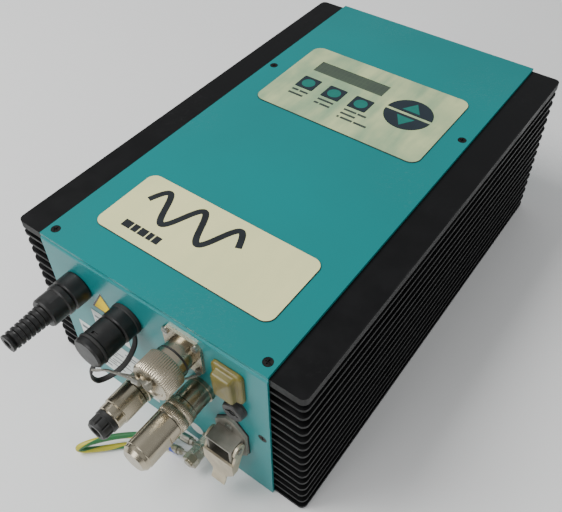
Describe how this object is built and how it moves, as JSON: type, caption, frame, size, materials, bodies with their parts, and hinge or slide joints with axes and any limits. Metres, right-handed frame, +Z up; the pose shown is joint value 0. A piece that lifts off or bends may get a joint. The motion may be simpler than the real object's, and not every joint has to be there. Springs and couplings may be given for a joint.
{
  "type": "high-voltage power supply",
  "caption": "Flat bench high-voltage supply: painted case between finned side walls, keypad and display on top, high-voltage, signal and mains connectors on the front.",
  "frame": {"origin": "middle of the case between its side walls and end panels, on its underside", "axes": "+Z up through the top cover, +Y from the connector panel to the rear panel, +X to the right seen from the connector panel"},
  "size_m": [0.232, 0.424, 0.1415],
  "materials": {
    "cover_paint": "satin",
    "panel_paint": "semi-gloss",
    "base_paint": "satin",
    "sink_black": "black anodised, worn",
    "screw_black": "blackened",
    "screw_bright": "zinc plated",
    "plate_print": "printed film",
    "overlay_film": "printed film, worn",
    "key_film": "satin",
    "window_film": "clear tinted",
    "display_parts": "satin",
    "board": "solder mask",
    "switch_parts": "satin",
    "brass_posts": "plain",
    "can_steel": "plain",
    "ferrite": "dull",
    "coil_tape": "film tape",
    "resin": "cast",
    "capacitor_sleeve": "shrunk film",
    "black_plastic": "satin",
    "grey_black_plastic": "satin",
    "black_rubber": "matte",
    "nickel": "satin nickel",
    "rope_steel": "twisted strand",
    "boot_silicone": "translucent, yellowed",
    "fuse_body": "plain",
    "inlet_zinc": "satin",
    "insert_plastic": "satin",
    "lever_steel": "satin",
    "stud_brass": "nickel plated",
    "lug_tin": "tinned, blue sleeve",
    "wire_pvc": "green and yellow stripes",
    "label_print": "printed film"
  },
  "bodies": {
    "case": {"base_plate": "base_paint", "front_panel": "panel_paint", "rear_panel": "panel_paint", "top_cover": "cover_paint", "heat_sink_left": "sink_black", "heat_sink_right": "sink_black", "cover_screws": "screw_black", "case_screws": "screw_black", "name_plate": "plate_print", "keypad_overlay": "overlay_film", "display_window": "window_film", "display_module": "display_parts", "control_board": "board", "key_switches": "switch_parts", "standoffs": "brass_posts", "main_board": "board", "mains_filter": "can_steel", "transformer_core": "ferrite", "transformer_coil": "coil_tape", "hv_blocks": "resin", "capacitors": "capacitor_sleeve", "power_transistors": "black_plastic", "hv_socket_left": "black_plastic", "hv_socket_right": "black_plastic", "hv_cap_strap": "black_rubber", "round_receptacle": "nickel", "receptacle_screws": "screw_bright", "round_seal": "black_rubber", "cap_eyelet": "screw_bright", "cap_lanyard": "rope_steel", "long_receptacle": "nickel", "small_receptacle": "nickel", "switch_frame": "black_plastic", "switch_boot": "boot_silicone", "fuse_holder": "black_plastic", "inlet_housing": "inlet_zinc", "inlet_insert": "insert_plastic", "inlet_screws": "screw_bright", "earth_stud": "stud_brass", "earth_lugs": "lug_tin", "earth_wire": "wire_pvc", "panel_labels": "label_print"},
    "left_key": {"key_left": "key_film"},
    "middle_key": {"key_middle": "key_film"},
    "right_key": {"key_right": "key_film"},
    "up_key": {"key_up": "key_film"},
    "down_key": {"key_down": "key_film"},
    "high_voltage_plug": {"hv_plug": "grey_black_plastic", "hv_plug_boot": "black_rubber"},
    "blanking_cap": {"hv_cap": "grey_black_plastic"},
    "screw_cap": {"round_cap": "nickel"},
    "long_plug": {"long_plug_body": "nickel"},
    "long_coupling_ring": {"long_ring": "nickel"},
    "short_plug": {"small_plug_body": "nickel"},
    "short_coupling_ring": {"small_ring": "nickel"},
    "gland_nut": {"small_gland_nut": "black_plastic"},
    "rocker": {"switch_rocker": "black_plastic"},
    "fuse_carrier": {"fuse_link": "fuse_body"},
    "fuse_knob": {"fuse_cap": "black_plastic"},
    "locking_lever": {"inlet_lever": "lever_steel"}
  },
  "joints": [
    {"name": "left_key_press", "type": "slide", "parent": "case", "child": "left_key", "axis": [0, 0, -1], "range_m": [0, 0.0004], "stiffness_N_per_m": 2000},
    {"name": "middle_key_press", "type": "slide", "parent": "case", "child": "middle_key", "axis": [0, 0, -1], "range_m": [0, 0.0004], "stiffness_N_per_m": 2000},
    {"name": "right_key_press", "type": "slide", "parent": "case", "child": "right_key", "axis": [0, 0, -1], "range_m": [0, 0.0004], "stiffness_N_per_m": 2000},
    {"name": "up_key_press", "type": "slide", "parent": "case", "child": "up_key", "axis": [0, 0, -1], "range_m": [0, 0.0004], "stiffness_N_per_m": 2000},
    {"name": "down_key_press", "type": "slide", "parent": "case", "child": "down_key", "axis": [0, 0, -1], "range_m": [0, 0.0004], "stiffness_N_per_m": 2000},
    {"name": "high_voltage_plug_pull", "type": "slide", "parent": "case", "child": "high_voltage_plug", "axis": [0, -1, 0], "range_m": [0, 0.045]},
    {"name": "blanking_cap_turn", "type": "hinge", "parent": "case", "child": "blanking_cap", "pos_m": [-0.019, -0.206, 0.1085], "axis": [0, -1, 0], "range_deg": [-45, 45]},
    {"name": "screw_cap_turn", "type": "hinge", "parent": "case", "child": "screw_cap", "pos_m": [0.03, -0.202, 0.116], "axis": [0, -1, 0], "range_deg": [0, 540]},
    {"name": "long_plug_pull", "type": "slide", "parent": "case", "child": "long_plug", "axis": [0, -1, 0], "range_m": [0, 0.03]},
    {"name": "long_ring_turn", "type": "hinge", "parent": "long_plug", "child": "long_coupling_ring", "pos_m": [0.0395, -0.205, 0.0825], "axis": [0, -1, 0], "range_deg": [0, 540]},
    {"name": "short_plug_pull", "type": "slide", "parent": "case", "child": "short_plug", "axis": [0, -1, 0], "range_m": [0, 0.03]},
    {"name": "short_ring_turn", "type": "hinge", "parent": "short_plug", "child": "short_coupling_ring", "pos_m": [0.004, -0.2, 0.0745], "axis": [0, -1, 0], "range_deg": [0, 540]},
    {"name": "gland_nut_turn", "type": "hinge", "parent": "short_plug", "child": "gland_nut", "pos_m": [0.004, -0.234, 0.0745], "axis": [0, -1, 0], "range_deg": [-45, 360]},
    {"name": "rocker_rock", "type": "hinge", "parent": "case", "child": "rocker", "pos_m": [0.0644, -0.181, 0.1135], "axis": [-1, 0, 0], "range_deg": [0, 16]},
    {"name": "fuse_pull", "type": "slide", "parent": "case", "child": "fuse_carrier", "axis": [0, -1, 0], "range_m": [0, 0.035]},
    {"name": "fuse_knob_turn", "type": "hinge", "parent": "fuse_carrier", "child": "fuse_knob", "pos_m": [0.0676, -0.186, 0.0875], "axis": [0, -1, 0], "range_deg": [0, 90]},
    {"name": "locking_lever_swing", "type": "hinge", "parent": "case", "child": "locking_lever", "pos_m": [0.0622, -0.191, 0.0525], "axis": [-1, 0, 0], "range_deg": [0, 75]}
  ]
}
